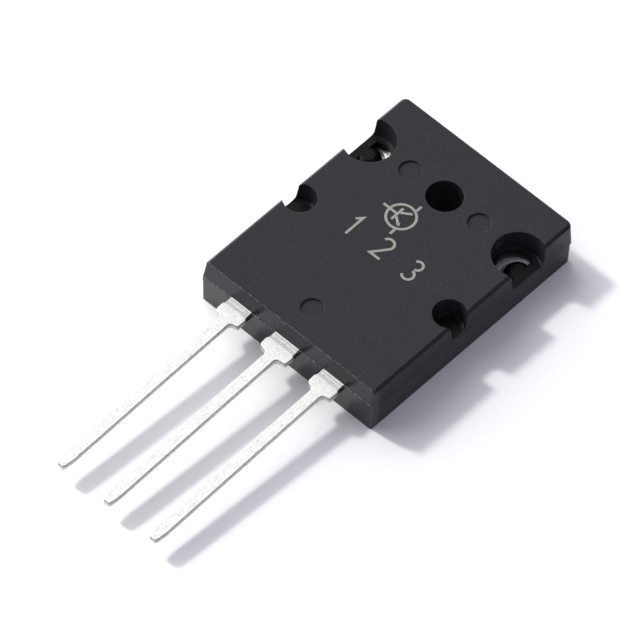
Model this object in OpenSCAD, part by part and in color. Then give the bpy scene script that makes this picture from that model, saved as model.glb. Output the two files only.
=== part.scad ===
// Three-lead power transistor in a flat moulded package with a copper back plate.
// Units are millimetres. The origin is on the mounting hole's axis at the back face.
// +Z leaves the marked face, +Y runs from the leads to the hole, and the leads point to -Y.

/* [Moulded body] */
// Width of the body across the three leads
body_w = 20.24; // [19.6:0.02:20.6]
// Length of the body along the leads
body_l = 25.8; // [25.4:0.1:26.6]
// Thickness of the body from back face to marked face
body_t = 5.2; // [4.8:0.1:5.4]
// Distance from the mounting hole's axis to the lead side
hole_to_leads = 20; // [19.8:0.1:20.2]
// Diameter of the mounting hole
hole_d = 3.4; // [3.2:0.1:3.6]
// Height of the mould's parting line on the long sides and the far end
side_parting_z = 2.6; // [2.4:0.1:2.7]
// How far each drafted wall leans in between the parting line and the marked face
draft_up = 0.14; // [0.1:0.01:0.3]
// How far each drafted wall leans in between the parting line and the back face
draft_down = 0.06; // [0.04:0.01:0.2]
// How far the lead side leans in between its parting line and the marked face
near_draft_up = 0.28; // [0.1:0.01:0.35]
// Mismatch of the two mould halves at the parting line
parting_step = 0.05; // [0.03:0.01:0.1]
// Chamfer along the long edges of the marked face
edge_chamfer = 0.26; // [0.1:0.02:0.3]
// Chamfer along the far edge of the marked face
far_chamfer = 0.12; // [0.05:0.01:0.2]
// Corner radius in plan beside the leads
near_corner_r = 0.16; // [0.1:0.02:0.5]
// Corner radius in plan at the far end
far_corner_r = 0.48; // [0.3:0.02:0.8]

/* [Side notches] */
// Distance of both pairs of notches from the centre line
notch_x = 8.88; // [8.8:0.02:9.1]
// Distance from the mounting hole back to the seat notches
seat_back = 0.1; // [0:0.02:0.2]
// Radius of a seat notch at its ledge
seat_r = 2.36; // [2.3:0.02:2.42]
// Radius of a seat notch at the marked face
seat_top_r = 2.47; // [2.44:0.01:2.6]
// Radius of the pocket that bares the back plate in a seat notch
pocket_r = 1.78; // [1.7:0.02:1.84]
// How far that pocket's axis lies inwards of the notch's axis
pocket_in = 0.36; // [0.2:0.02:0.5]
// Height of the ledge outside the back plate in a seat notch
seat_ledge_z = 3.05; // [2.9:0.05:3.2]
// Distance from the mounting hole back to the plain notches
plain_notch_back = 9; // [8.8:0.1:9.2]
// Radius of a plain notch at its floor
plain_notch_r = 1.48; // [1.4:0.02:1.52]
// Radius of a plain notch at the marked face
plain_notch_top_r = 1.57; // [1.54:0.01:1.7]
// Height of a plain notch's floor
plain_floor_z = 3.2; // [3:0.05:3.3]
// Fillet between a notch's wall and its floor
notch_fillet = 0.42; // [0.2:0.02:0.5]

/* [Ejector marks] */
// Radius of the three shallow ejector marks
mark_r = 1.05; // [0.9:0.05:1.2]
// Depth of an ejector mark
mark_depth = 0.17; // [0.05:0.01:0.2]
// Distance of the two far marks from the centre line
mark_x = 4.07; // [3.8:0.01:4.4]
// Distance from the mounting hole back to the single near mark
near_mark_back = 16.9; // [16:0.1:17.5]

/* [Back plate] */
// Width of the copper back plate at its upper lip
plate_w = 18.06; // [17.6:0.02:18.2]
// Thickness of the back plate
plate_t = 2.1; // [1.9:0.05:2.2]
// Distance from the lead side to the plate's near edge
plate_setback = 3.2; // [3:0.1:3.6]
// Distance from the far end of the body to the plate's far edge
plate_far_margin = 0.9; // [0.6:0.1:1.2]
// Width of the overhanging lip that locks the plate in the moulding
lip_w = 0.3; // [0.2:0.05:0.4]
// Height of the underside of that lip
lip_z = 1.2; // [1:0.1:1.4]
// Radius of the half-round bites in the plate's long edges
bite_r = 1.45; // [1.3:0.05:1.5]
// Rolled edge round the top of each bite
bite_bevel = 0.2; // [0.1:0.05:0.25]
// Diameter of the plate's hole, which the moulding lines
plate_hole_d = 5.2; // [4.6:0.1:6]

/* [Leads] */
// Distance between the centre lines of neighbouring leads
lead_pitch = 5.45; // [5.35:0.05:5.55]
// Width of a lead below its shoulder
lead_w = 1.05; // [0.9:0.05:1.25]
// Thickness of the lead sheet
lead_t = 0.6; // [0.5:0.05:0.7]
// Height of the leads' top face where they leave the body
lead_top_z = 3.4; // [3.3:0.05:3.5]
// Length of a lead from the body to its tip
lead_l = 22.5; // [20:0.1:23.5]
// Drop of the lead tips below a level lead
lead_droop = 1.07; // [0:0.01:1.5]
// Width of an outer lead where it leaves the body
outer_root_w = 2.4; // [2.2:0.05:2.5]
// Width of the middle lead where it leaves the body
middle_root_w = 2.8; // [2.6:0.05:3]
// Length of the straight root between the body and the dam-bar stubs
root_l = 0.68; // [0.6:0.02:0.8]
// Length of the dam-bar stubs along the lead
stub_l = 1.16; // [0.9:0.02:1.3]
// How far each stub stands out beside the root
stub_out = 0.15; // [0.1:0.01:0.22]
// Radius of the inner corner between shoulder and lead
shoulder_r = 0.42; // [0.3:0.02:0.6]
// Length of the taper at a lead's tip
tip_l = 1.25; // [0.8:0.05:1.6]
// Width of a lead's blunt end
tip_w = 0.58; // [0.4:0.02:0.7]
// Sideways shift of the blunt end, from the direction of the trimming cut
tip_shift = 0.02; // [0:0.01:0.08]
// Distance from the lead side to the middle of the coined band across each shoulder
band_y = 0.5; // [0.4:0.02:0.5]
// Width of the coined band
band_w = 0.32; // [0.2:0.02:0.34]
// Depth of the coined band
band_depth = 0.02; // [0.01:0.01:0.06]
// Width of the compound that squeezed out beside each lead root
flash_w = 0.12; // [0.05:0.01:0.16]

/* [Chip and bonds] */
// Edge of the square silicon chip
die_size = 5.2; // [4:0.1:6]
// Thickness of the chip
die_t = 0.28; // [0.2:0.02:0.4]
// Thickness of the solder under the chip
solder_t = 0.06; // [0.04:0.01:0.1]
// Distance from the mounting hole back to the chip's centre
die_back = 10.2; // [9.5:0.1:10.5]
// Diameter of the base bond wire
base_wire_d = 0.3; // [0.2:0.02:0.34]
// Diameter of each emitter bond wire
emitter_wire_d = 0.38; // [0.3:0.02:0.4]
// Rise of a bond wire's loop above the line between its two ends
wire_rise = 1.1; // [0.9:0.1:1.2]

/* [Hidden] */
$fn = 64;

// Places worked out from the driving dimensions
near_y = -hole_to_leads;
far_y = body_l - hole_to_leads;
mid_y = (near_y + far_y) / 2;
plate_near_y = near_y + plate_setback;
plate_far_y = far_y - plate_far_margin;
die_y = -die_back;
die_top_z = plate_t + solder_t + die_t;
lead_bottom_z = lead_top_z - lead_t;
lead_mid_z = lead_top_z - lead_t / 2;
cut = 1; // overshoot of a cutting shape past the face that it leaves
step_gap = 0.01; // height over which the two mould halves' mismatch runs out
lead_slope = lead_droop / lead_l;

// The inner ends of the leads
paddle_w = 4.4;
paddle_near = 0.9;
paddle_far = 3;
anchor_hole_r = 0.35;
anchor_hole_in = 1.15; // from the lead side to the anchor hole's axis
bond_inset = 2.1; // from the lead side to the bonds on the paddles
joggle_level = 1.6; // level length of the collector lead inside the body
joggle_foot = 0.3; // from the end of its slope to the plate's near edge
joggle_lap = 0.4; // how far it overlaps the plate

// Details of the leads' trimmed outline, measured along the lead unless stated otherwise
stub_rise = 0.3; // from the end of the root to the stub's full width
stub_corner = [0.2, 0.06]; // cut corner of the stub on the -X and the +X side
stub_lean = 0.04; // narrowing of the stub towards that corner
stub_fillet = 0.08; // from the stub's end to the start of the shoulder's inner corner
tip_bend = 0.36; // from the blunt end to the bend in the taper
tip_bend_in = 0.09; // how far inside the lead's side that bend lies, across the lead
flash_drop = 0.05; // how far the squeezed-out compound stays below the lead's top face
flash_run = 0.2; // how far it overlaps the body
tip_of_flash = 0.7; // its width beside the stub, as a share of its width at the body

// The plug of moulding compound that fills each bite, as [height, radius] from the bottom up
plug_steps = [[plate_t - bite_bevel, bite_r],
              [plate_t + 0.1, bite_r - 0.06],
              [plate_t + 0.5, bite_r - 0.28],
              [plate_t + 0.8, bite_r - 0.55],
              [seat_ledge_z, bite_r - 0.85]];
ledge_round = 0.3; // sloped shoulder between the ledge and the drop to the plate
arc_step = 15; // degrees between the points of a small fillet
corner_step = 11.25; // degrees between the points of a body corner

// Bond feet
foot_l = 1;
foot_t = 0.24;
foot_slack = 0.14; // how much wider a foot is than its wire
bond_z = 0.2; // height of the wire's centre above the pad at each bond

// The two ends of each wire: its bond on the chip, in chip widths from the chip's centre, and
// the sideways distance of its other bond from the lead's centre line
base_bond = [-0.34, -0.3];
base_bond_side = 0.5;
inner_emitter_bond = [0.12, -0.25];
inner_emitter_bond_side = -1.1;
outer_emitter_bond = [0.34, -0.2];
outer_emitter_bond_side = 0.7;

copper = "silver";
compound = [0.2, 0.2, 0.22];
aluminium = [0.8, 0.8, 0.82];

// ---- outlines --------------------------------------------------------------------------

// An outline that is mirrored about x = 0: the given right half runs from low to high y.
function mirrored(half) =
    concat(half, [for (i = [len(half) - 1:-1:0]) [-half[i][0], half[i][1]]]);

// The inset of each long side at height z, measured from the widest point of its half.
function side_inset(z) = lookup(z, [
    [0, draft_down + parting_step],
    [side_parting_z - step_gap, parting_step],
    [side_parting_z, 0],
    [body_t - edge_chamfer, draft_up],
    [body_t, draft_up + edge_chamfer]]);

// The inset of the far end at height z.
function far_inset(z) = lookup(z, [
    [0, draft_down + parting_step],
    [side_parting_z - step_gap, parting_step],
    [side_parting_z, 0],
    [body_t - far_chamfer, draft_up],
    [body_t, draft_up + far_chamfer]]);

// The inset of the lead side at height z. This side parts at the top of the leads.
function near_inset(z) = lookup(z, [
    [0, draft_down],
    [lead_top_z - step_gap, 0],
    [lead_top_z, parting_step],
    [body_t, parting_step + near_draft_up]]);

// The points of one rounded corner, from angle a0 on round a quarter turn.
function corner(cx, cy, r, a0, z) =
    [for (a = [a0:corner_step:a0 + 90]) [cx + r * cos(a), cy + r * sin(a), z]];

// The body's outline at height z, seen from above, anticlockwise from the near right corner.
function outline(z) =
    let (hw = body_w / 2 - side_inset(z),
         y0 = near_y + near_inset(z),
         y1 = far_y - far_inset(z),
         rn = near_corner_r,
         rf = far_corner_r)
    concat(corner(hw - rn, y0 + rn, rn, -90, z),
           corner(hw - rf, y1 - rf, rf, 0, z),
           corner(rf - hw, y1 - rf, rf, 90, z),
           corner(rn - hw, y0 + rn, rn, 180, z));

// One side of a lead's outline outside the body, from the tip up to the lead side. side is 1
// for the +X side and -1 for the other, and y is measured from the lead side.
function lead_side(root_w, side) =
    let (stub_hw = root_w / 2 + stub_out,
         stub_end = root_l + stub_l,
         corner_cut = stub_corner[side > 0 ? 1 : 0],
         arc_y = -stub_end - stub_fillet - shoulder_r,
         arc_x = lead_w / 2 + shoulder_r)
    concat(
        [[side * tip_w / 2 + tip_shift, -lead_l],
         [side * (lead_w / 2 - tip_bend_in), tip_bend - lead_l],
         [side * lead_w / 2, tip_l - lead_l]],
        [for (a = [180:-arc_step:90])
            [side * (arc_x + shoulder_r * cos(a)), arc_y + shoulder_r * sin(a)]],
        [[side * (stub_hw - stub_lean - corner_cut), -stub_end],
         [side * (stub_hw - stub_lean), corner_cut - stub_end],
         [side * stub_hw, -root_l - stub_rise],
         [side * root_w / 2, -root_l],
         [side * root_w / 2, 0]]);

// A lead's whole outline outside the body.
function lead_outline(root_w) =
    let (left = lead_side(root_w, -1))
    concat(lead_side(root_w, 1), [for (i = [len(left) - 1:-1:0]) left[i]]);

// The right half of an outer lead's inner end: neck and paddle, from the lead side inwards.
function paddle_half() = [
    [outer_root_w / 2, 0],
    [outer_root_w / 2, paddle_near - 0.3],
    [paddle_w / 2, paddle_near],
    [paddle_w / 2, paddle_far]];

// ---- formed sheet ----------------------------------------------------------------------

function unit(v) = v / norm(v);
function left_of(v) = [-v[1], v[0]];
function leg(path, i) =
    let (k = max(0, min(i, len(path) - 2)))
    unit(path[k + 1] - path[k]);

// The direction and length of the mitre at point i of a bent sheet's centre line.
function mitre(path, i) =
    let (a = left_of(leg(path, i - 1)), b = left_of(leg(path, i)))
    (a + b) / (1 + a * b);

// The edge-on outline of sheet of thickness t that follows a centre line.
function sheet_outline(path, t) = concat(
    [for (i = [0:len(path) - 1]) path[i] + t / 2 * mitre(path, i)],
    [for (i = [len(path) - 1:-1:0]) path[i] - t / 2 * mitre(path, i)]);

// Extrudes an outline in (y, z) across x, centred on x = 0.
module across(width) {
    translate([-width / 2, 0, 0])
        rotate([90, 0, 90])
            linear_extrude(width)
                children();
}

// The centre line of every lead outside the body, drooping evenly from its root.
lead_path = [[near_y - lead_l, lead_mid_z - lead_droop], [near_y, lead_mid_z]];

// The centre line of the collector lead inside the body, joggled down onto the plate.
joggle_path = [[near_y + joggle_level, lead_mid_z],
               [plate_near_y - joggle_foot, plate_t - lead_t / 2],
               [plate_near_y + joggle_lap, plate_t - lead_t / 2]];

// A shallow coined band runs across each shoulder's top face.
module shoulder_band() {
    translate([0, near_y - band_y - band_w / 2, lead_top_z - band_depth - lead_slope * band_y])
        across(middle_root_w + cut)
            square([band_w, cut]);
}

// One lead outside the body: flat outline cut from the drooping sheet.
module outer_lead(root_w) {
    difference() {
        intersection() {
            across(root_w + cut)
                polygon(sheet_outline(lead_path, lead_t));
            translate([0, near_y, 0])
                linear_extrude(body_t)
                    polygon(lead_outline(root_w));
        }
        shoulder_band();
    }
}

// A base or emitter lead: the outer lead with its paddle and anchor hole inside the body.
module side_lead() {
    difference() {
        union() {
            outer_lead(outer_root_w);
            translate([0, near_y, lead_bottom_z])
                linear_extrude(lead_t)
                    polygon(mirrored(paddle_half()));
        }
        translate([0, near_y + anchor_hole_in, lead_bottom_z - cut])
            cylinder(r = anchor_hole_r, h = lead_t + 2 * cut);
    }
}

// ---- body ------------------------------------------------------------------------------

// The drafted block that the mould's two halves would give without any notch or hole.
module drafted_block() {
    levels = [0, side_parting_z - step_gap, side_parting_z, lead_top_z - step_gap, lead_top_z,
              body_t - edge_chamfer, body_t - far_chamfer, body_t];
    n = len(outline(0));
    top = (len(levels) - 1) * n;
    polyhedron(
        points = [for (z = levels, p = outline(z)) p],
        faces = concat(
            [[for (i = [0:n - 1]) i]],
            [for (k = [0:len(levels) - 2], i = [0:n - 1])
                let (j = (i + 1) % n)
                [k * n + i, (k + 1) * n + i, (k + 1) * n + j, k * n + j]],
            [[for (i = [n - 1:-1:0]) top + i]]));
}

// A pin of radius r at height z0 with a fillet round its foot. Its radius is top_r at the
// marked face, and it runs on past it.
module filleted_pin(z0, r, top_r) {
    slope = (top_r - r) / (body_t - z0);
    foot = [for (a = [-90:arc_step:0])
        [r + notch_fillet * (cos(a) - 1), z0 + notch_fillet * (sin(a) + 1)]];
    rotate_extrude()
        polygon(concat([[0, z0]], foot, [[top_r + slope * cut, body_t + cut], [0, body_t + cut]]));
}

// The plug of compound that stands in the bite of the back plate.
module bite_plug() {
    for (i = [0:len(plug_steps) - 2])
        translate([0, 0, plug_steps[i][0]])
            cylinder(h = plug_steps[i + 1][0] - plug_steps[i][0],
                     r1 = plug_steps[i][1],
                     r2 = plug_steps[i + 1][1]);
}

// The rolled edge round the top of a bite.
module bite_rim() {
    translate([0, 0, plate_t - bite_bevel])
        cylinder(h = bite_bevel, r1 = bite_r, r2 = bite_r + bite_bevel);
}

// The part of a seat notch that goes below the ledge. It stops at the plate's long edge.
module seat_ring(edge_x) {
    difference() {
        intersection() {
            union() {
                translate([-pocket_in, 0, plate_t])
                    cylinder(h = body_t - plate_t, r1 = pocket_r, r2 = pocket_r + draft_up);
                bite_rim();
            }
            translate([0, seat_top_r + cut, 0])
                rotate([90, 0, 0])
                    linear_extrude(2 * (seat_top_r + cut))
                        polygon([[-seat_top_r - cut, 0],
                                 [edge_x, 0],
                                 [edge_x, seat_ledge_z - ledge_round],
                                 [edge_x + ledge_round, seat_ledge_z],
                                 [-seat_top_r - cut, seat_ledge_z]]);
        }
        bite_plug();
    }
}

// The seat notch on the +X side: a drafted notch whose floor bares the back plate.
module seat_notch() {
    translate([notch_x, -seat_back, 0]) {
        filleted_pin(seat_ledge_z, seat_r, seat_top_r);
        seat_ring(plate_w / 2 - notch_x);
    }
}

// The plain notch on the +X side, floored with compound.
module plain_notch() {
    translate([notch_x, -plain_notch_back, 0])
        filleted_pin(plain_floor_z, plain_notch_r, plain_notch_top_r);
}

module ejector_marks() {
    for (place = [[-mark_x, 0], [mark_x, 0], [0, -near_mark_back]])
        translate([place[0], place[1], body_t - mark_depth])
            cylinder(r = mark_r, h = cut);
}

// Compound that squeezed out of the mould on both sides of a lead's root.
module root_flash(root_w) {
    for (side = [0, 1])
        mirror([side, 0, 0])
            translate([root_w / 2, near_y, lead_bottom_z])
                linear_extrude(lead_t - flash_drop)
                    polygon([[0, -root_l], [flash_w * tip_of_flash, -root_l],
                             [flash_w, 0], [flash_w, flash_run], [0, flash_run]]);
}

// ---- back plate ------------------------------------------------------------------------

// One layer of the plate: its width, and its lower and upper height.
module plate_layer(width, z0, z1) {
    translate([-width / 2, plate_near_y, z0])
        cube([width, plate_far_y - plate_near_y, z1 - z0]);
}

module back_plate() {
    difference() {
        union() {
            plate_layer(plate_w - 2 * lip_w, 0, lip_z + lip_w);
            plate_layer(plate_w, lip_z, plate_t);
        }
        translate([0, 0, -cut])
            cylinder(d = plate_hole_d, h = plate_t + 2 * cut);
        for (side = [-1, 1])
            translate([side * notch_x, -seat_back, 0]) {
                translate([0, 0, -cut])
                    cylinder(r = bite_r, h = plate_t + 2 * cut);
                bite_rim();
            }
    }
}

// The middle lead inside the body, level at first and then bent down onto the plate.
module collector_joggle() {
    translate([-middle_root_w / 2, near_y, lead_bottom_z])
        cube([middle_root_w, joggle_level, lead_t]);
    across(middle_root_w)
        polygon(sheet_outline(joggle_path, lead_t));
}

// ---- bond wires ------------------------------------------------------------------------

// A flattened bond of a wire of diameter d, centred on its pad and turned to the wire.
module bond_foot(d, heading) {
    rotate([0, 0, heading])
        translate([-foot_l / 2, -(d + foot_slack) / 2, 0])
            cube([foot_l, d + foot_slack, foot_t]);
}

// A looped wire of diameter d from a pad at `from` to a pad at `to`, both on their surface.
module bond_wire(d, from, to) {
    span = to - from;
    reach = norm([span[0], span[1]]);
    heading = atan2(span[1], span[0]);
    chord = norm(span);
    tilt = atan2(span[2], reach);
    loop_r = chord * chord / (8 * wire_rise) + wire_rise / 2;
    half_angle = asin(chord / (2 * loop_r));
    centre_drop = loop_r - wire_rise;
    translate(from) {
        bond_foot(d, heading);
        translate([0, 0, bond_z])
            rotate([0, 0, heading])
                translate([reach / 2 + centre_drop * sin(tilt), 0,
                           span[2] / 2 - centre_drop * cos(tilt)])
                    rotate([90, 0, 0])
                        rotate([0, 0, 90 + tilt - half_angle])
                            rotate_extrude(angle = 2 * half_angle)
                                translate([loop_r, 0])
                                    circle(d = d);
    }
    translate(to)
        bond_foot(d, heading);
}

// ---- the pieces ------------------------------------------------------------------------

module collector_plate() {
    color(copper) {
        back_plate();
        collector_joggle();
        outer_lead(middle_root_w);
    }
}

module base_lead() {
    color(copper)
        translate([-lead_pitch, 0, 0])
            side_lead();
}

module emitter_lead() {
    color(copper)
        translate([lead_pitch, 0, 0])
            side_lead();
}

module die_solder() {
    color("gray")
        translate([-die_size / 2, die_y - die_size / 2, plate_t])
            cube([die_size, die_size, solder_t]);
}

module silicon_die() {
    color([0.35, 0.37, 0.42])
        translate([-die_size / 2, die_y - die_size / 2, plate_t + solder_t])
            cube([die_size, die_size, die_t]);
}

// The place on top of the chip that lies `share` chip widths from its centre.
function on_chip(share) = [die_size * share[0], die_y + die_size * share[1], die_top_z];

// The place on an inner lead end that lies `side` beside the centre line at x.
function on_paddle(x, side) = [x + side, near_y + bond_inset, lead_top_z];

module base_wire() {
    color(aluminium)
        bond_wire(base_wire_d, on_chip(base_bond), on_paddle(-lead_pitch, base_bond_side));
}

module inner_emitter_wire() {
    color(aluminium)
        bond_wire(emitter_wire_d, on_chip(inner_emitter_bond),
                  on_paddle(lead_pitch, inner_emitter_bond_side));
}

module outer_emitter_wire() {
    color(aluminium)
        bond_wire(emitter_wire_d, on_chip(outer_emitter_bond),
                  on_paddle(lead_pitch, outer_emitter_bond_side));
}

// Everything that the compound is moulded round.
module embedded_pieces() {
    collector_plate();
    base_lead();
    emitter_lead();
    die_solder();
    silicon_die();
    base_wire();
    inner_emitter_wire();
    outer_emitter_wire();
}

module moulded_body() {
    color(compound)
        difference() {
            union() {
                drafted_block();
                root_flash(middle_root_w);
                for (x = [-lead_pitch, lead_pitch])
                    translate([x, 0, 0])
                        root_flash(outer_root_w);
            }
            translate([0, 0, -cut])
                cylinder(d = hole_d, h = body_t + 2 * cut);
            for (side = [0, 1])
                mirror([side, 0, 0]) {
                    seat_notch();
                    plain_notch();
                }
            ejector_marks();
            embedded_pieces();
        }
}

moulded_body();
collector_plate();
base_lead();
emitter_lead();
silicon_die();
die_solder();
base_wire();
inner_emitter_wire();
outer_emitter_wire();
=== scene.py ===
"""Looks for a flat moulded power transistor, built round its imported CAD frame."""

import logging
import math
from dataclasses import dataclass
from enum import Enum
from typing import Sequence

import bmesh
import bpy
from mathutils import Matrix, Vector


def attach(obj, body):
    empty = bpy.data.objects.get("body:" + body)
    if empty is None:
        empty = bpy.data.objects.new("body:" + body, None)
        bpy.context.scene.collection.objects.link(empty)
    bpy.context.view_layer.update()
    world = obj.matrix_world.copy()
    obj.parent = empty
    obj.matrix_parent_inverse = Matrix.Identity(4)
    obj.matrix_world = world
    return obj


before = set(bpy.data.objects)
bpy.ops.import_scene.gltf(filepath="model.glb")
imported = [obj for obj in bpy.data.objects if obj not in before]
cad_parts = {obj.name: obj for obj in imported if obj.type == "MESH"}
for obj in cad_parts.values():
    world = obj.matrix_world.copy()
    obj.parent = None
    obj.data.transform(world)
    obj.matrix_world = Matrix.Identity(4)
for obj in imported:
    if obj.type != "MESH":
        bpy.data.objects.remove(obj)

LOG = logging.getLogger("transistor")
MM = 0.001
FACE_Z = 5.2  # the marked face's height above the mounting face, in millimetres
COLOUR_MIX_INPUTS = (0, 6, 7)  # the factor and the two colours among a Mix node's sockets
COLOUR_MIX_OUTPUT = 2
NOISE_RANGE = (0.3, 0.7)  # the values between which nearly all of a noise texture lies
Colour = tuple[float, float, float]
Point = tuple[float, float]
Range = tuple[float, float]
Place = tuple[float, float, float]


# ---- shader wiring ---------------------------------------------------------------------


class Wiring:
    """Adds nodes to one shader tree and joins their sockets."""

    def __init__(self, tree: bpy.types.NodeTree) -> None:
        """Keeps the tree that the nodes go into."""
        self.tree = tree

    def add(self, kind: str, **inputs: object) -> bpy.types.Node:
        """Adds a node, named without its "ShaderNode" prefix, and fills its sockets."""
        return self.fill(self.tree.nodes.new("ShaderNode" + kind), inputs)

    def fill(self, node: bpy.types.Node, inputs: dict[str, object]) -> bpy.types.Node:
        """Fills a node's named sockets.

        Args:
            node: The node.
            inputs: Socket names, with "_" for a space, and what each one takes: an output
                socket to join, or a fixed value.

        Returns:
            The same node.
        """
        for name, value in inputs.items():
            self.feed(node.inputs[name.replace("_", " ")], value)
        return node

    def feed(self, socket: bpy.types.NodeSocket, value: object) -> None:
        """Joins an output to a socket, or sets the socket's fixed value.

        Args:
            socket: The input socket to fill.
            value: An output socket, a number, a vector or a colour.
        """
        if isinstance(value, bpy.types.NodeSocket):
            self.tree.links.new(value, socket)
        elif socket.type == "RGBA":
            socket.default_value = (*value, 1.0)
        else:
            socket.default_value = value

    def maths(self, operation: str, *values: object) -> bpy.types.NodeSocket:
        """Adds a Math node.

        Args:
            operation: The node's operation.
            *values: Its inputs in order, as outputs or numbers.

        Returns:
            The node's output.
        """
        node = self.add("Math")
        node.operation = operation
        for socket, value in zip(node.inputs, values):
            self.feed(socket, value)
        return node.outputs[0]

    def dot(self, first: object, second: object) -> bpy.types.NodeSocket:
        """Multiplies two directions.

        Args:
            first: A direction or an output.
            second: A direction or an output.

        Returns:
            Their dot product.
        """
        node = self.add("VectorMath")
        node.operation = "DOT_PRODUCT"
        self.feed(node.inputs[0], first)
        self.feed(node.inputs[1], second)
        return node.outputs["Value"]

    def span(
        self,
        value: object,
        low: float,
        high: float,
        to_low: float = 0.0,
        to_high: float = 1.0,
        smooth: bool = False,
    ) -> bpy.types.NodeSocket:
        """Maps a value from one range to another, clamped.

        Args:
            value: The value to map.
            low: The value that gives to_low.
            high: The value that gives to_high.
            to_low: The result at low.
            to_high: The result at high.
            smooth: Whether the change eases in and out.

        Returns:
            The mapped value.
        """
        node = self.add("MapRange")
        node.interpolation_type = "SMOOTHSTEP" if smooth else "LINEAR"
        for socket, item in zip(node.inputs, (value, low, high, to_low, to_high)):
            self.feed(socket, item)
        return node.outputs[0]

    def blend(self, amount: object, first: object, second: object) -> bpy.types.NodeSocket:
        """Mixes two colours.

        Args:
            amount: How much of the second colour shows.
            first: A colour or an output.
            second: A colour or an output.

        Returns:
            The mixed colour.
        """
        node = self.add("Mix")
        node.data_type = "RGBA"
        for index, value in zip(COLOUR_MIX_INPUTS, (amount, first, second)):
            self.feed(node.inputs[index], value)
        return node.outputs[COLOUR_MIX_OUTPUT]

    def noise(
        self, vector: object, size: object, detail: float, stretch: Sequence[float] = ()
    ) -> bpy.types.NodeSocket:
        """Adds a noise texture.

        Args:
            vector: The position, in metres.
            size: The size of a grain, in millimetres, as a number or an output.
            detail: How many finer layers it has.
            stretch: How many times longer a grain is along X, Y and Z.

        Returns:
            The noise, about 0.5 on average.
        """
        if stretch:
            squeeze = self.add("Mapping", Vector=vector, Scale=[1 / s for s in stretch])
            vector = squeeze.outputs[0]
        fixed = isinstance(size, float)
        scale = 1 / (size * MM) if fixed else self.maths("DIVIDE", 1 / MM, size)
        return self.add("TexNoise", Vector=vector, Scale=scale, Detail=detail).outputs[0]


class SocketKind(Enum):
    """The kinds of socket that the shared effects have."""

    VALUE = "NodeSocketFloat"
    VECTOR = "NodeSocketVector"


class Effect:
    """A shader effect that several finishes share, kept as one node group.

    Attributes:
        title: The group's name.
        takes: The kind of each input, and its value where a finish gives none.
        gives: The kind of each output.
    """

    title = ""
    takes: dict[str, tuple[SocketKind, object]] = {}
    gives: dict[str, SocketKind] = {}

    @classmethod
    def group(cls) -> bpy.types.NodeTree:
        """Builds the node group on its first use.

        Returns:
            The group's node tree.
        """
        tree = bpy.data.node_groups.get(cls.title)
        if tree:
            return tree
        tree = bpy.data.node_groups.new(cls.title, "ShaderNodeTree")
        for name, (kind, value) in cls.takes.items():
            socket = tree.interface.new_socket(name, in_out="INPUT", socket_type=kind.value)
            if value is not None:
                socket.default_value = value
        for name, kind in cls.gives.items():
            tree.interface.new_socket(name, in_out="OUTPUT", socket_type=kind.value)
        entry = tree.nodes.new("NodeGroupInput")
        leave = tree.nodes.new("NodeGroupOutput")
        wires = Wiring(tree)
        for name, output in cls.wire(wires, entry.outputs).items():
            wires.feed(leave.inputs[name], output)
        return tree

    @classmethod
    def wire(cls, wires: Wiring, entry: object) -> dict[str, bpy.types.NodeSocket]:
        """Makes the group's inner nodes and returns what feeds each of its outputs."""
        raise NotImplementedError

    @classmethod
    def place(cls, wires: Wiring, **inputs: object) -> object:
        """Puts the effect into a material.

        Args:
            wires: The material's wiring.
            **inputs: The group's sockets, with "_" for a space, and their values.

        Returns:
            The placed group's outputs.
        """
        node = wires.add("Group")
        node.node_tree = cls.group()
        return wires.fill(node, inputs).outputs


class Grain(Effect):
    """Fine grain with sparse flecks, and a slow drift of tone."""

    fleck_core = 0.18  # how far out a fleck is full, in cells
    fleck_rim = 0.32  # how far out it ends, in cells
    title = "grain"
    takes = {
        "Position": (SocketKind.VECTOR, None),
        "Grain mm": (SocketKind.VALUE, 0.12),
        "Fleck mm": (SocketKind.VALUE, 0.3),
        "Fleck share": (SocketKind.VALUE, 0.05),
        "Drift mm": (SocketKind.VALUE, 6.0),
    }
    gives = {"Grain": SocketKind.VALUE, "Flecks": SocketKind.VALUE, "Drift": SocketKind.VALUE}

    @classmethod
    def wire(cls, wires: Wiring, entry: object) -> dict[str, bpy.types.NodeSocket]:
        """Makes the grain, the flecks and the drift.

        Args:
            wires: The group's wiring.
            entry: The outputs of the group's input node.

        Returns:
            The three masks, each from 0 to 1.
        """
        place = entry["Position"]
        grain = wires.span(wires.noise(place, entry["Grain mm"], detail=3.0), *NOISE_RANGE)
        scale = wires.maths("DIVIDE", 1 / MM, entry["Fleck mm"])
        cells = wires.add("TexVoronoi", Vector=place, Scale=scale)
        pick = wires.add("SeparateColor", Color=cells.outputs["Color"]).outputs[0]
        chosen = wires.maths("LESS_THAN", pick, entry["Fleck share"])
        reach = cells.outputs["Distance"]
        spot = wires.span(reach, cls.fleck_core, cls.fleck_rim, 1.0, 0.0, smooth=True)
        drift = wires.span(wires.noise(place, entry["Drift mm"], detail=2.0), *NOISE_RANGE)
        return {"Grain": grain, "Flecks": wires.maths("MULTIPLY", chosen, spot), "Drift": drift}


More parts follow.
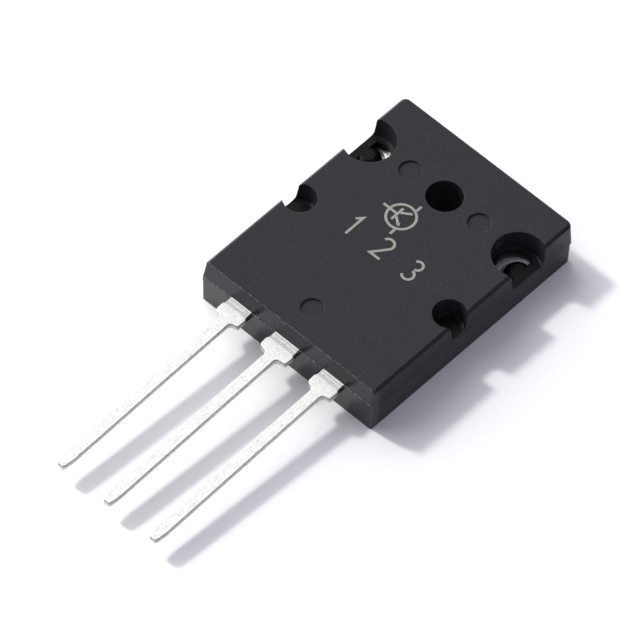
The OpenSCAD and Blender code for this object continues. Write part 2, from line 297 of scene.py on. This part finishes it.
class SoftEdge(Effect):
    """Rounds edges for the light and marks worn edges, where the compound also paints a highlight.
    """

    samples = 8
    edge_turn = (0.995, 0.9)  # cosines of the normal's turn where the edge starts and is full
    rub_spread = 0.2  # how far above its start the noise gives a full rub
    title = "soft edge"
    takes = {
        "Position": (SocketKind.VECTOR, None),
        "Radius mm": (SocketKind.VALUE, 0.08),
        "Rub mm": (SocketKind.VALUE, 0.4),
        "Rub start": (SocketKind.VALUE, 0.45),
    }
    gives = {"Normal": SocketKind.VECTOR, "Rub": SocketKind.VALUE}

    @classmethod
    def wire(cls, wires: Wiring, entry: object) -> dict[str, bpy.types.NodeSocket]:
        """Makes the rounded normal and the mask of worn edges, where the compound also paints a
        highlight.

        Args:
            wires: The group's wiring.
            entry: The outputs of the group's input node.

        Returns:
            The rounded normal, and a mask from 0 to 1 that is broken up along each edge.
        """
        radius = wires.maths("MULTIPLY", entry["Radius mm"], MM)
        bevel = wires.add("Bevel", Radius=radius)
        bevel.samples = cls.samples
        flat = wires.add("NewGeometry").outputs["True Normal"]
        edge = wires.span(wires.dot(bevel.outputs[0], flat), *cls.edge_turn)
        patchy = wires.noise(entry["Position"], entry["Rub mm"], detail=4.0)
        end = wires.maths("ADD", entry["Rub start"], cls.rub_spread)
        worn = wires.span(patchy, entry["Rub start"], end)
        return {"Normal": bevel.outputs[0], "Rub": wires.maths("MULTIPLY", edge, worn)}


# ---- finishes --------------------------------------------------------------------------


@dataclass(frozen=True)
class Surface:
    """One material's shader, and what its finish works from.

    Attributes:
        wires: The material's wiring.
        shader: The Principled BSDF to feed.
        place: The position on the object, in metres.
        facing: The direction that the surface faces.
    """

    wires: Wiring
    shader: bpy.types.Node
    place: bpy.types.NodeSocket
    facing: bpy.types.NodeSocket

    def feed(self, name: str, value: object) -> None:
        """Fills the shader's socket of this name with an output or a fixed value."""
        self.wires.feed(self.shader.inputs[name], value)

    def relief(self, height: object, normal: object, strength: float, depth: float) -> None:
        """Gives the shader a bump.

        Args:
            height: The height, as a share of the depth.
            normal: The normal that the bump starts from.
            strength: How much of the bump shows.
            depth: How high the bump is where the height is 1, in millimetres.
        """
        bump = self.wires.add("Bump", Height=height, Normal=normal)
        bump.inputs["Strength"].default_value = strength
        bump.inputs["Distance"].default_value = depth * MM
        self.feed("Normal", bump.outputs[0])

    def split(self) -> tuple[bpy.types.NodeSocket, bpy.types.NodeSocket, bpy.types.NodeSocket]:
        """Returns the position's Y and Z, in metres, and the direction's Z."""
        spot = self.wires.add("SeparateXYZ", Vector=self.place).outputs
        return spot["Y"], spot["Z"], self.wires.add("SeparateXYZ", Vector=self.facing).outputs["Z"]


@dataclass(frozen=True)
class Finish:
    """What every finish has: a name, a colour and a roughness."""

    name: str
    colour: Colour
    roughness: float

    def shade(self, share: float) -> list[float]:
        """Returns the colour multiplied by this share."""
        return [c * share for c in self.colour]

    def material(self) -> bpy.types.Material:
        """Builds the material on its first use.

        Returns:
            The material.
        """
        found = bpy.data.materials.get(self.name)
        if found:
            return found
        made = bpy.data.materials.new(self.name)
        made.use_nodes = True
        made.node_tree.nodes.clear()
        made.diffuse_color = (*self.colour, 1.0)
        wires = Wiring(made.node_tree)
        shader = wires.add("BsdfPrincipled")
        wires.add("OutputMaterial", Surface=shader.outputs[0])
        place = wires.add("TexCoord").outputs
        self.wire(Surface(wires, shader, place["Object"], place["Normal"]))
        return made

    def wire(self, on: Surface) -> None:
        """Feeds the material's shader."""
        raise NotImplementedError


@dataclass(frozen=True)
class MouldingCompound(Finish):
    """Black filled epoxy: eroded top, smoother walls, pale worn edges that are partly a painted
    highlight, filler flecks and painted shade in recesses.

    Attributes:
        wall_roughness: The drafted walls' roughness.
        wall_gloss: The coat on the walls of the lead side.
        handled_y: Where the worn lead side, with its painted edge highlight, is in full, in
            millimetres.
        handled_fade: How far it fades out from there, in millimetres.
        handled_rest: How much of the wear with its painted highlight, and of the coat, the rest of
            the body has.
        level: How upright the normal is where a face starts to count as level, and does fully.
        erosion: How far the level faces go toward the eroded colour.
        drift: How far the slow drift of tone does.
        face_z: The marked face's height, in millimetres.
        recess: Depths below it where the painted shade in a recess starts and is darkest, in
            millimetres.
        recess_up: The normal's Z where a recess's face starts to take painted shade, and is
            darkest.
        recess_shade: How dark the painted shade in a recess is.
        grain: The grain's darkest and lightest tone, as shares of the colour.
        fleck_share: How strongly a fleck shows.
        rub_and_highlight_share: How strongly a worn edge with its painted highlight shows.
        spread: How far the grain changes the roughness each way.
        eroded: The colour of the bared filler.
        painted_shade: The colour of the painted shade in a recess.
        fleck: The colour of a fleck.
        rubbed_and_highlight: The colour of a worn edge, partly wear and partly a painted highlight.
    """

    wall_roughness: float = 0.15
    wall_gloss: float = 0.42
    handled_y: float = -19.4
    handled_fade: float = 0.5
    handled_rest: float = 0.1
    level: Range = (0.6, 0.9)
    erosion: float = 0.4
    drift: float = 0.1
    face_z: float = FACE_Z
    recess: Range = (0.3, 0.6)
    recess_up: Range = (0.3, 0.7)
    recess_shade: float = 0.95
    grain: Range = (0.55, 1.7)
    fleck_share: float = 0.35
    rub_and_highlight_share: float = 1.15
    spread: float = 0.05
    eroded: Colour = (0.03, 0.03, 0.034)
    painted_shade: Colour = (0.001, 0.001, 0.0012)
    fleck: Colour = (0.16, 0.16, 0.16)
    rubbed_and_highlight: Colour = (0.24, 0.24, 0.25)

    def wire(self, on: Surface) -> None:
        """Feeds the material's shader.

        Args:
            on: The surface to finish.
        """
        wires = on.wires
        grain = Grain.place(
            wires, Position=on.place, Grain_mm=0.11, Fleck_mm=0.17, Fleck_share=0.03, Drift_mm=5.0
        )
        edge = SoftEdge.place(wires, Position=on.place, Radius_mm=0.1, Rub_mm=0.14, Rub_start=0.44)
        along, height, tall = on.split()
        fade = ((self.handled_y + self.handled_fade) * MM, self.handled_y * MM)
        handled = wires.span(along, *fade, self.handled_rest, 1.0)
        level = wires.span(wires.maths("ABSOLUTE", tall), *self.level)

        # Painted shade: upward faces sunk below the marked face are darkened almost to black, in
        # place of the shade inside the notches.
        sunk = wires.span(height, *((self.face_z - depth) * MM for depth in self.recess))
        recess = wires.maths(
            "MULTIPLY", sunk, wires.span(tall, *self.recess_up, 0.0, self.recess_shade)
        )
        black = wires.blend(grain["Grain"], *(self.shade(share) for share in self.grain))
        drift = wires.maths("MULTIPLY", grain["Drift"], self.drift)
        bared = wires.maths("MULTIPLY_ADD", level, self.erosion, drift)
        toned = wires.blend(recess, wires.blend(bared, black, self.eroded), self.painted_shade)
        flecks = wires.maths("MULTIPLY", grain["Flecks"], self.fleck_share)
        # Pale edges, strongest on the lead side: partly real wear, partly a painted highlight along
        # the edges.
        rub_and_highlight = wires.maths("MULTIPLY", wires.maths("MULTIPLY", edge["Rub"], handled), self.rub_and_highlight_share)
        on.feed("Base Color", wires.blend(rub_and_highlight, wires.blend(flecks, toned, self.fleck), self.rubbed_and_highlight))

        coat = wires.span(level, 0.0, 1.0, self.wall_gloss, 0.0)
        on.feed("Coat Weight", wires.maths("MULTIPLY", coat, handled))
        rough = wires.span(level, 0.0, 1.0, self.wall_roughness, self.roughness)
        spread = wires.span(grain["Grain"], 0.0, 1.0, -self.spread, self.spread)
        on.feed("Roughness", wires.maths("ADD", rough, spread))
        on.relief(grain["Grain"], edge["Normal"], strength=0.35, depth=0.008)
        on.feed("IOR", 1.2)
        on.feed("Coat Roughness", 0.13)
        on.feed("Coat IOR", 1.5)


@dataclass(frozen=True)
class TinPlate(Finish):
    """Matte tin over copper: rolled grain along the strip, pits, and sheared sides.

    Attributes:
        dark: The grain's darkest tone, as a share of the colour.
        strip_top: The height of the leads' top where they leave the body, in millimetres.
        strip_start: Where they leave it along Y, in millimetres.
        strip_fall: How far they fall for each millimetre of length.
        cover_fade: Over what length the clean tin of the covered metal starts, in millimetres.
        flank: How upright the normal is where a face starts to count as a side, and does fully.
        burnish: How far the shear's burnish goes down a side, in millimetres.
        burr_fade: Over what depth it ends, in millimetres.
        burr: How strongly the sheared colour shows above and below that end.
        score_mm: The size of a score, in millimetres.
        score_noise: The noise's values where the scoring is least and most.
        score: How it changes the sheared colour there.
        rolled_mm: The width of a rolled streak, in millimetres.
        rolled_stretch: How many times longer it is along the strip.
        streak: The rolled noise's value where a streak starts, and is full.
        streak_share: How strongly a streak shows.
        pit_drift: The drift's values where pits are fewest and densest.
        pit_share: How strongly pits show there.
        grain_relief: How high the fine grain stands beside the rolled streaks.
        metal: How metallic the faces and the sides are.
        spread: How far the rolled grain changes the roughness each way.
        flank_polish: How much smoother the sides are.
        pit: The colour of pits and streaks.
        sheared: The colour of sheared metal.
        clean: The colour of the covered metal.
    """

    dark: float = 0.82
    strip_top: float = 3.4
    strip_start: float = -20.0
    strip_fall: float = 0.0476
    cover_fade: float = 0.05
    flank: Range = (0.75, 0.4)
    burnish: float = 0.2
    burr_fade: float = 0.08
    burr: Range = (0.85, 0.08)
    score_mm: float = 0.12
    score_noise: Range = (0.3, 0.6)
    score: Range = (0.6, 1.0)
    rolled_mm: float = 0.06
    rolled_stretch: float = 7.0
    streak: Range = (0.46, 0.3)
    streak_share: float = 0.55
    pit_drift: Range = (0.3, 0.8)
    pit_share: Range = (0.15, 0.8)
    grain_relief: float = 0.6
    metal: Range = (0.7, 0.25)
    spread: float = 0.08
    flank_polish: float = 0.12
    pit: Colour = (0.2, 0.195, 0.18)
    sheared: Colour = (0.2, 0.19, 0.19)
    clean: Colour = (0.95, 0.945, 0.92)

    def wire(self, on: Surface) -> None:
        """Feeds the material's shader.

        Args:
            on: The surface to finish.
        """
        wires = on.wires
        grain = Grain.place(
            wires, Position=on.place, Grain_mm=0.08, Fleck_mm=0.16, Fleck_share=0.16, Drift_mm=1.6
        )
        edge = SoftEdge.place(wires, Position=on.place, Radius_mm=0.05)
        stretch = (1.0, self.rolled_stretch, 1.0)
        rolled = wires.noise(on.place, self.rolled_mm, detail=3.0, stretch=stretch)
        along, height, tall = on.split()
        flank = wires.span(wires.maths("ABSOLUTE", tall), *self.flank)

        metal = wires.blend(grain["Grain"], self.shade(self.dark), self.colour)
        streak = wires.span(rolled, *self.streak, 0.0, self.streak_share)
        patchy = wires.span(grain["Drift"], *self.pit_drift, *self.pit_share)
        pits = wires.maths("MULTIPLY", grain["Flecks"], patchy)
        pitted = wires.blend(pits, wires.blend(streak, metal, self.pit), self.pit)
        shear = wires.maths("MULTIPLY", flank, self.scored(on, along, height))
        bare = wires.blend(shear, pitted, self.sheared)
        cover = wires.span(along, (self.strip_start - self.cover_fade) * MM, self.strip_start * MM)
        on.feed("Base Color", wires.blend(cover, bare, self.clean))

        on.feed("Metallic", wires.span(flank, 0.0, 1.0, *self.metal))
        low, high = self.roughness - self.spread, self.roughness + self.spread
        rough = wires.span(rolled, *NOISE_RANGE, low, high)
        polish = wires.maths("MULTIPLY", flank, -self.flank_polish)
        on.feed("Roughness", wires.maths("ADD", rough, polish))
        relief = wires.maths("MULTIPLY", grain["Grain"], self.grain_relief)
        on.relief(
            wires.maths("ADD", rolled, relief), edge["Normal"], strength=0.4, depth=0.012
        )

    def scored(
        self, on: Surface, along: bpy.types.NodeSocket, height: bpy.types.NodeSocket
    ) -> bpy.types.NodeSocket:
        """Marks the shear's burnish below the leads' sloping top.

        Args:
            on: The surface to finish.
            along: The position's Y, in metres.
            height: The position's Z, in metres.

        Returns:
            A mask from 0 to 1.
        """
        wires = on.wires
        top_at_origin = self.strip_top - self.strip_fall * self.strip_start
        top = wires.maths("MULTIPLY_ADD", along, self.strip_fall, top_at_origin * MM)
        under = wires.maths("SUBTRACT", top, height)
        ends = (self.burnish * MM, (self.burnish + self.burr_fade) * MM)
        burr = wires.span(under, *ends, *self.burr)
        scores = wires.noise(on.place, self.score_mm, detail=4.0)
        return wires.maths("MULTIPLY", burr, wires.span(scores, *self.score_noise, *self.score))


@dataclass(frozen=True)
class InnerMetal(Finish):
    """Chip metal, solder or wire: one metal with fine grain.

    Attributes:
        grain_mm: The grain's size, in millimetres.
        contrast: How much darker the grain's darkest tone is.
        spread: How far the drift of tone changes the roughness each way.
    """

    grain_mm: float = 0.05
    contrast: float = 0.15
    spread: float = 0.05

    def wire(self, on: Surface) -> None:
        """Feeds the material's shader.

        Args:
            on: The surface to finish.
        """
        grain = Grain.place(
            on.wires,
            Position=on.place,
            Grain_mm=self.grain_mm,
            Fleck_mm=0.2,
            Fleck_share=0.05,
            Drift_mm=2.0,
        )
        dim = self.shade(1 - self.contrast)
        on.feed("Base Color", on.wires.blend(grain["Grain"], dim, self.colour))
        low, high = self.roughness - self.spread, self.roughness + self.spread
        on.feed("Roughness", on.wires.span(grain["Drift"], 0.0, 1.0, low, high))
        on.feed("Metallic", 1.0)


@dataclass(frozen=True)
class LaserEtch(Finish):
    """Compound that a laser has frosted to a pale tan.

    Attributes:
        thin: The tone of a thinly frosted place, as a share of the colour.
        fade: How strongly the drift of tone thins the frost.
        spread: How far the grain changes the roughness each way.
    """

    thin: float = 0.6
    fade: float = 0.35
    spread: float = 0.1

    def wire(self, on: Surface) -> None:
        """Feeds the material's shader.

        Args:
            on: The surface to finish.
        """
        wires = on.wires
        grain = Grain.place(
            wires, Position=on.place, Grain_mm=0.09, Fleck_mm=0.15, Fleck_share=0.1, Drift_mm=1.2
        )
        thin = self.shade(self.thin)
        etched = wires.blend(grain["Grain"], thin, self.colour)
        faded = wires.maths("MULTIPLY", grain["Drift"], self.fade)
        on.feed("Base Color", wires.blend(faded, etched, thin))
        low, high = self.roughness - self.spread, self.roughness + self.spread
        on.feed("Roughness", wires.span(grain["Grain"], 0.0, 1.0, low, high))


@dataclass(frozen=True)
class StudioPaper(Finish):
    """White paper with a barely seen tooth.

    Attributes:
        tooth: The tooth's darkest tone, as a share of the colour.
        spread: How far the tooth changes the roughness each way.
    """

    tooth: float = 0.985
    spread: float = 0.05

    def wire(self, on: Surface) -> None:
        """Feeds the material's shader.

        Args:
            on: The surface to finish.
        """
        wires = on.wires
        grain = Grain.place(
            wires, Position=on.place, Grain_mm=0.5, Fleck_mm=1.0, Fleck_share=0.0, Drift_mm=60.0
        )
        on.feed("Base Color", wires.blend(grain["Grain"], self.shade(self.tooth), self.colour))
        low, high = self.roughness - self.spread, self.roughness + self.spread
        on.feed("Roughness", wires.span(grain["Grain"], 0.0, 1.0, low, high))
        on.feed("Specular IOR Level", 0.1)


COMPOUND = MouldingCompound("black epoxy", (0.0152, 0.0155, 0.0185), roughness=0.5)
TIN = TinPlate("matte tin", (0.74, 0.735, 0.705), roughness=0.4)
CHIP_METAL = InnerMetal("chip metal", (0.42, 0.44, 0.5), roughness=0.2)
SOLDER = InnerMetal("soft solder", (0.5, 0.5, 0.52), roughness=0.5, grain_mm=0.08, contrast=0.3)
WIRE_METAL = InnerMetal("drawn aluminium", (0.83, 0.84, 0.85), roughness=0.3)
ETCH = LaserEtch("laser frost", (0.32, 0.31, 0.265), roughness=0.7)
PAPER = StudioPaper("white paper", (0.82, 0.82, 0.82), roughness=0.8)


# ---- mesh helpers ----------------------------------------------------------------------


SHARPEST_MITRE = 0.35  # keeps a stroke's corner from running out to a spike


def arc(centre: Point, radius: float, start: float, end: float, steps: int = 16) -> list[Point]:
    """Points on a circular arc.

    Args:
        centre: The arc's centre, in millimetres.
        radius: Its radius, in millimetres.
        start: The first point's angle, in degrees.
        end: The last point's angle, in degrees.
        steps: How many parts it has.

    Returns:
        The points in order.
    """
    turns = [math.radians(start + (end - start) * i / steps) for i in range(steps + 1)]
    return [(centre[0] + radius * math.cos(t), centre[1] + radius * math.sin(t)) for t in turns]


def ribbon(path: Sequence[Point], width: float, closed: bool = False) -> list[list[Point]]:
    """The outline of a stroke of even width.

    Args:
        path: The stroke's centre line, in millimetres.
        width: The stroke's width, in millimetres.
        closed: Whether the last point joins the first.

    Returns:
        The two edges of the stroke, point for point along the centre line.
    """
    count = len(path)
    edges: list[list[Point]] = [[], []]
    for i, (x, y) in enumerate(path):
        before = path[(i - 1) % count] if closed or i else None
        after = path[(i + 1) % count] if closed or i < count - 1 else None
        legs = []
        for a, b in ((before, (x, y)), ((x, y), after)):
            if a and b:
                legs.append((Vector(b) - Vector(a)).normalized())
        way = sum(legs, Vector((0.0, 0.0))).normalized()
        side = Vector((-way.y, way.x))
        reach = width / 2 / max(SHARPEST_MITRE, side.dot(Vector((-legs[0].y, legs[0].x))))
        for edge, sign in zip(edges, (1, -1)):
            edge.append((x + sign * side.x * reach, y + sign * side.y * reach))
    return edges


# ---- the part's sub-assemblies ---------------------------------------------------------


@dataclass
class Dressing:
    """Gives CAD nodes their finish.

    Attributes:
        nodes: Each node's name, and its finish.
    """

    nodes: dict[str, Finish]

    def build(self) -> None:
        """Puts each node's finish in its only material slot and logs it."""
        for name, finish in self.nodes.items():
            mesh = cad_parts[name].data
            mesh.materials.clear()
            mesh.materials.append(finish.material())
            LOG.info("%s: CAD node in %s", name, finish.name)


@dataclass
class LaserMarking:
    """The etched pin numbers and the circuit symbol on the marked face, in millimetres.

    Strokes never overlap, because they all lie in one plane.

    Attributes:
        face_z: The marked face's height.
        proud: How far the etching stands above it.
        sunk: How far it goes below it.
        stroke: The width of a stroke.
        digit_y: Where the digits' centres lie along Y.
        digit_height: The digits' height.
        digit_width: The digits' width.
        digit_pitch: The distance between neighbouring digits.
        upper_bowl: The upper bowl's share of the digit 3.
        symbol_centre: The centre of the symbol's circle.
        symbol_radius: Its radius.
        circle_steps: How many parts the circle has.
    """

    face_z: float = FACE_Z
    proud: float = 0.003
    sunk: float = 0.01
    stroke: float = 0.24
    digit_y: float = -7.85
    digit_height: float = 2.3
    digit_width: float = 1.15
    digit_pitch: float = 3.5
    upper_bowl: float = 0.47
    symbol_centre: Point = (-1.2, -4.3)
    symbol_radius: float = 1.35
    circle_steps: int = 64

    def digit(self, number: int, centre: Point) -> list[list[Point]]:
        """The strokes of a plain digit, laid out in shares of its half width and height.

        Args:
            number: 1, 2 or 3.
            centre: The digit's centre, in millimetres.

        Returns:
            The centre lines of its strokes.
        """
        w, h = self.digit_width / 2, self.digit_height / 2
        x, y = centre
        if number == 1:
            stem = x + w * 0.1
            return [[(x - w * 0.7, y + h * 0.55), (stem, y + h), (stem, y - h)]]
        if number == 2:
            top = arc((x, y + h - w), w, 160, -35)
            return [[*top, (x - w, y - h), (x + w, y - h)]]
        bowls = h - self.stroke / 2
        small = bowls * self.upper_bowl
        large = bowls - small
        middle = x - w * 0.1
        upper = arc((middle, y + h - small), small, 150, -85)
        lower = arc((middle, y - h + large), large, 85, -150)
        return [upper, lower]

    def symbol(self) -> tuple[list[Point], list[list[Point]]]:
        """The circuit symbol of a transistor, in shares of its circle's radius.

        Returns:
            Its circle, and the centre lines of its other strokes.
        """
        x, y = self.symbol_centre
        r = self.symbol_radius
        half = self.stroke / 2
        bar, leg = x - r * 0.34, x + r * 0.4
        circle = arc((x, y), r, 0, 360, self.circle_steps)[:-1]
        lines = [
            [(x - r * 1.55, y), (x - r - half, y)],
            [(x - r + half, y), (bar - half, y)],
            [(bar, y - r * 0.58), (bar, y + r * 0.58)],
            [(bar + half, y + r * 0.2), (leg, y + r * 0.66)],
            [(bar + half, y - r * 0.2), (leg - r * 0.22, y - r * 0.525)],
            [(leg, y + r * 1.03), (leg, y + r * 1.5)],
            [(leg, y - r * 1.03), (leg, y - r * 1.5)],
        ]
        return circle, lines

    def arrow(self) -> list[Point]:
        """The arrow on the symbol's lower branch, in shares of the circle's radius.

        Returns:
            The corners of its head.
        """
        x, y = self.symbol_centre
        r = self.symbol_radius
        tip = Vector((x + r * 0.42, y - r * 0.67))
        way = (tip - Vector((x + r * 0.18, y - r * 0.525))).normalized()
        back, side = tip - way * r * 0.26, Vector((-way.y, way.x)) * r * 0.17
        return [tuple(back + side), tuple(back - side), tuple(tip)]

    def layers(
        self, shape: bmesh.types.BMesh, lines: Sequence[Sequence[Point]]
    ) -> list[list[bmesh.types.BMVert]]:
        """Adds the corners of these lines at the etching's top and at its foot.

        Args:
            shape: The mesh to add to.
            lines: The lines, in millimetres.

        Returns:
            The corners of each line at the top, and then those at the foot.
        """
        heights = (self.face_z + self.proud, self.face_z - self.sunk)
        return [
            [shape.verts.new((x * MM, y * MM, z * MM)) for x, y in line]
            for z in heights
            for line in lines
        ]

    def stamp(self, shape: bmesh.types.BMesh, outline: Sequence[Point]) -> None:
        """Adds one thin closed patch with this outline.

        Args:
            shape: The mesh to add to.
            outline: The patch's outline, in millimetres.
        """
        top, base = self.layers(shape, [outline])
        shape.faces.new(top)
        shape.faces.new(base[::-1])
        for i in range(len(outline)):
            j = (i + 1) % len(outline)
            shape.faces.new((top[j], top[i], base[i], base[j]))

    def band(self, shape: bmesh.types.BMesh, path: Sequence[Point]) -> None:
        """Adds one thin closed band along an open stroke.

        Args:
            shape: The mesh to add to.
            path: The stroke's centre line, in millimetres.
        """
        top_left, top_right, low_left, low_right = self.layers(shape, ribbon(path, self.stroke))
        ring = [top_left, top_right, low_right, low_left]
        for i in range(len(path) - 1):
            for a, b in zip(ring, ring[1:] + ring[:1]):
                shape.faces.new((a[i], b[i], b[i + 1], a[i + 1]))
        for i in (0, -1):
            shape.faces.new([row[i] for row in ring])

    def hoop(self, shape: bmesh.types.BMesh, circle: Sequence[Point]) -> None:
        """Adds one thin closed hoop along a circle.

        Args:
            shape: The mesh to add to.
            circle: The hoop's centre line, in millimetres.
        """
        rims = ribbon(circle, self.stroke, closed=True)
        top_in, top_out, low_in, low_out = self.layers(shape, rims)
        ring = [top_in, top_out, low_out, low_in]
        for i in range(len(circle)):
            j = (i + 1) % len(circle)
            for a, b in zip(ring, ring[1:] + ring[:1]):
                shape.faces.new((a[i], b[i], b[j], a[j]))

    def build(self) -> None:
        """Builds the marking as one object and logs it."""
        shape = bmesh.new()
        circle, strokes = self.symbol()
        for number in (1, 2, 3):
            strokes += self.digit(number, ((number - 2) * self.digit_pitch, self.digit_y))
        for path in strokes:
            self.band(shape, path)
        self.stamp(shape, self.arrow())
        self.hoop(shape, circle)
        bmesh.ops.recalc_face_normals(shape, faces=shape.faces)
        mesh = bpy.data.meshes.new("laser_marking")
        shape.to_mesh(mesh)
        shape.free()
        mesh.materials.append(ETCH.material())
        marking = bpy.data.objects.new("laser_marking", mesh)
        bpy.context.scene.collection.objects.link(marking)
        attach(marking, "root")
        LOG.info("laser_marking: %d faces", len(mesh.polygons))


# ---- the studio ------------------------------------------------------------------------


@dataclass
class Studio:
    """Floor, light and camera round the part, in metres and degrees.

    Attributes:
        floor_half: Half the floor's edge.
        floor_gap: How far the floor lies below the part.
        key_from: Where the key light comes from.
        key_angle: How wide it looks.
        key_strength: Its strength.
        key_colour: Its colour.
        bright_side: Where the dome is brightest.
        bright_part: How near to that direction the dome starts to brighten, and is brightest.
        dim_colour: The dome's light away from there.
        bright_colour: Its light there.
        azimuth: The camera's turn round the part, from the lead side.
        elevation: How high the camera stands.
        roll: How far it is tilted.
        distance: Its distance from the target.
        target: The point it looks at.
        focal: Its focal length, in widths of its sensor.
        sensor: Its sensor's width, in millimetres.
        clip: The nearest and the farthest distance that it sees.
    """

    floor_half: float = 0.6
    floor_gap: float = 0.005 * MM
    key_from: Place = (-0.99, -0.17, 1.0)
    key_angle: float = 6.8
    key_strength: float = 2.0
    key_colour: Colour = (1.0, 0.99, 0.965)
    bright_side: Place = (-0.93, 0.0, 0.36)
    bright_part: Range = (0.5, 0.92)
    dim_colour: Colour = (0.42, 0.412, 0.49)
    bright_colour: Colour = (3.05, 3.03, 3.08)
    azimuth: float = 40.223
    elevation: float = 53.993
    roll: float = 3.537
    distance: float = 0.80263
    target: Place = (-0.000158, -0.015583, 0.002)
    focal: float = 14.4775625
    sensor: float = 36.0
    clip: Range = (0.01, 10.0)

    def floor(self) -> None:
        """Lays the floor under the part."""
        h = self.floor_half
        mesh = bpy.data.meshes.new("studio_floor")
        mesh.from_pydata([(-h, -h, 0), (h, -h, 0), (h, h, 0), (-h, h, 0)], [], [(0, 1, 2, 3)])
        mesh.materials.append(PAPER.material())
        floor = bpy.data.objects.new("studio_floor", mesh)
        floor.location.z = -self.floor_gap
        bpy.context.scene.collection.objects.link(floor)

    def key(self) -> None:
        """Hangs the soft key light."""
        lamp = bpy.data.lights.new("key_light", "SUN")
        lamp.energy = self.key_strength
        lamp.angle = math.radians(self.key_angle)
        lamp.color = self.key_colour
        holder = bpy.data.objects.new("key_light", lamp)
        holder.rotation_euler = Vector(self.key_from).to_track_quat("Z", "Y").to_euler()
        bpy.context.scene.collection.objects.link(holder)

    def dome(self) -> None:
        """Makes the pale dome round the part, brighter on the key light's side."""
        world = bpy.data.worlds.new("studio_dome")
        world.use_nodes = True
        world.node_tree.nodes.clear()
        wires = Wiring(world.node_tree)
        way = wires.add("TexCoord").outputs["Generated"]
        share = wires.span(wires.dot(way, self.bright_side), *self.bright_part, smooth=True)
        light = wires.blend(share, self.dim_colour, self.bright_colour)
        wires.add("OutputWorld", Surface=wires.add("Background", Color=light).outputs[0])
        bpy.context.scene.world = world

    def camera(self) -> None:
        """Stands the camera at its viewing angle."""
        a, e = math.radians(self.azimuth), math.radians(self.elevation)
        back = Vector((math.sin(a) * math.cos(e), -math.cos(a) * math.cos(e), math.sin(e)))
        right = Vector((0, 0, 1)).cross(back).normalized()
        turn = Matrix.Rotation(math.radians(self.roll), 3, back)
        right = turn @ right
        up = back.cross(right)
        lens = bpy.data.cameras.new("camera")
        lens.sensor_width = self.sensor
        lens.lens = self.focal * self.sensor
        lens.clip_start, lens.clip_end = self.clip
        holder = bpy.data.objects.new("camera", lens)
        pose = Matrix((right, up, back)).transposed().to_4x4()
        pose.translation = Vector(self.target) + back * self.distance
        holder.matrix_world = pose
        bpy.context.scene.collection.objects.link(holder)
        bpy.context.scene.camera = holder

    def build(self) -> None:
        """Sets up the floor, the lights, the camera and the plain colour transform."""
        self.floor()
        self.key()
        self.dome()
        self.camera()
        view = bpy.context.scene.view_settings
        view.view_transform = "Standard"
        view.look = "None"
        view.exposure = 0.0
        LOG.info("studio: floor, key light, dome and camera")


def main() -> None:
    """Builds every sub-assembly in order."""
    logging.basicConfig(level=logging.INFO, format="%(name)s: %(message)s")
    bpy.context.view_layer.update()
    Dressing({"moulded_body": COMPOUND}).build()
    Dressing({"collector_plate": TIN, "base_lead": TIN, "emitter_lead": TIN}).build()
    Dressing(
        {
            "silicon_die": CHIP_METAL,
            "die_solder": SOLDER,
            "base_wire": WIRE_METAL,
            "inner_emitter_wire": WIRE_METAL,
            "outer_emitter_wire": WIRE_METAL,
        }
    ).build()
    LaserMarking().build()
    Studio().build()


if __name__ == "__main__":
    main()
